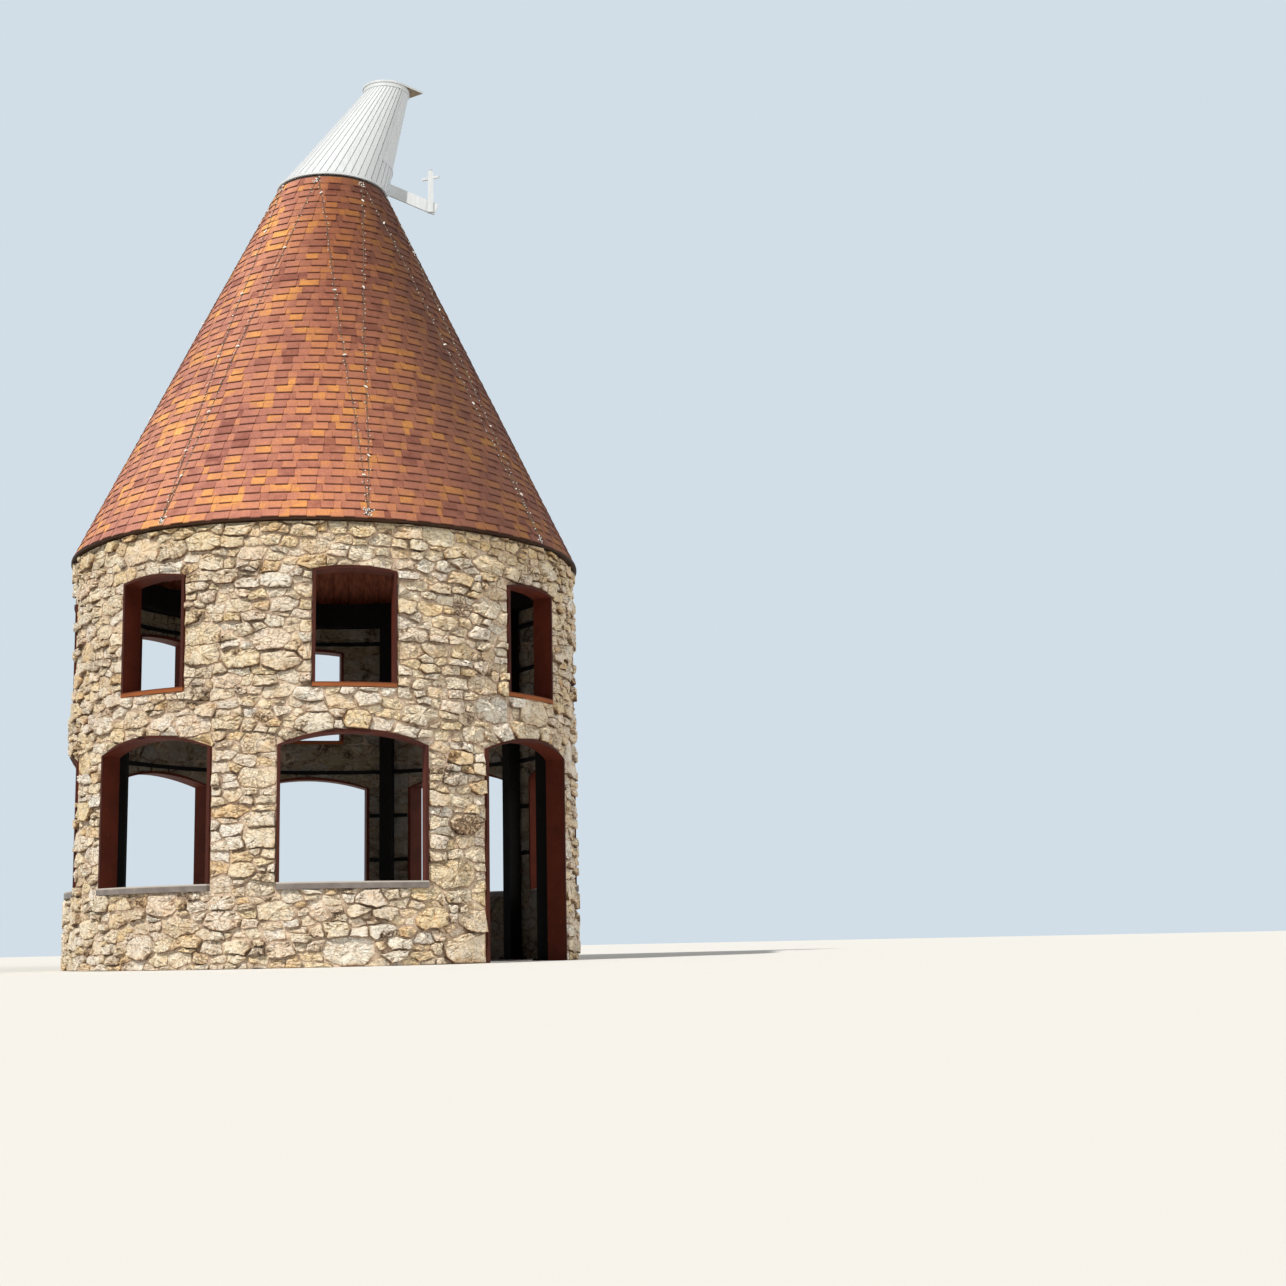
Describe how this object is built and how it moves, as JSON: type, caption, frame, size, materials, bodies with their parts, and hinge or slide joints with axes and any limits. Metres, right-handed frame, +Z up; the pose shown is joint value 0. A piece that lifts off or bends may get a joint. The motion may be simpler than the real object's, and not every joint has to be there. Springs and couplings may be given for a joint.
{
  "type": "oast house",
  "caption": "Round two-storey stone tower with arched openings, a tall shingled cone and a white boarded cowl that turns on its pole.",
  "frame": {"origin": "on the ground at the tower's axis", "axes": "+Z up, -Y out of the front bay, +X out of the right bay"},
  "size_m": [7.47, 7.47, 13.663],
  "materials": {
    "stone": "rough",
    "lining_steel": "matte",
    "counter_slate": "honed",
    "black_steel": "satin",
    "drip_metal": "satin",
    "beam_wood": "rough sawn",
    "shingles": "granular",
    "roof_boards": "stained",
    "cast_iron": "rough",
    "white_boards": "painted"
  },
  "bodies": {
    "tower": {"wall_front": "stone", "wall_front_right": "stone", "wall_right": "stone", "wall_back_right": "stone", "wall_back": "stone", "wall_back_left": "stone", "wall_left": "stone", "wall_front_left": "stone", "arch_lining_front": "lining_steel", "arch_lining_front_right": "lining_steel", "arch_lining_right": "lining_steel", "arch_lining_back_right": "lining_steel", "arch_lining_back": "lining_steel", "arch_lining_back_left": "lining_steel", "arch_lining_left": "lining_steel", "arch_lining_front_left": "lining_steel", "window_lining_front": "lining_steel", "window_lining_front_right": "lining_steel", "window_lining_right": "lining_steel", "window_lining_back_right": "lining_steel", "window_lining_back": "lining_steel", "window_lining_back_left": "lining_steel", "window_lining_left": "lining_steel", "window_lining_front_left": "lining_steel", "bar_counters": "counter_slate", "columns": "black_steel", "pier_girts": "black_steel", "girt_ring_low": "black_steel", "girt_ring_high": "black_steel", "ring_beam": "black_steel", "wall_plate": "beam_wood", "eave_drip": "drip_metal", "roof_shell": "shingles", "roof_boards": "roof_boards", "curb_ring": "drip_metal", "pole_beam_low": "beam_wood", "pole_beam_top": "beam_wood", "footstep": "cast_iron"},
    "cowl": {"cowl_ring": "white_boards", "cowl_shell": "white_boards", "cowl_hoop": "white_boards", "cowl_cap": "white_boards", "cowl_mouth_frame": "white_boards", "cowl_mouth_panel": "white_boards", "cowl_pole": "beam_wood", "cowl_arms": "beam_wood", "vane_arm": "white_boards", "vane_post": "white_boards"}
  },
  "joints": [
    {"name": "cowl_turn", "type": "hinge", "parent": "tower", "child": "cowl", "pos_m": [0, 0, 11.869], "axis": [0, 0, 1], "continuous": true}
  ]
}
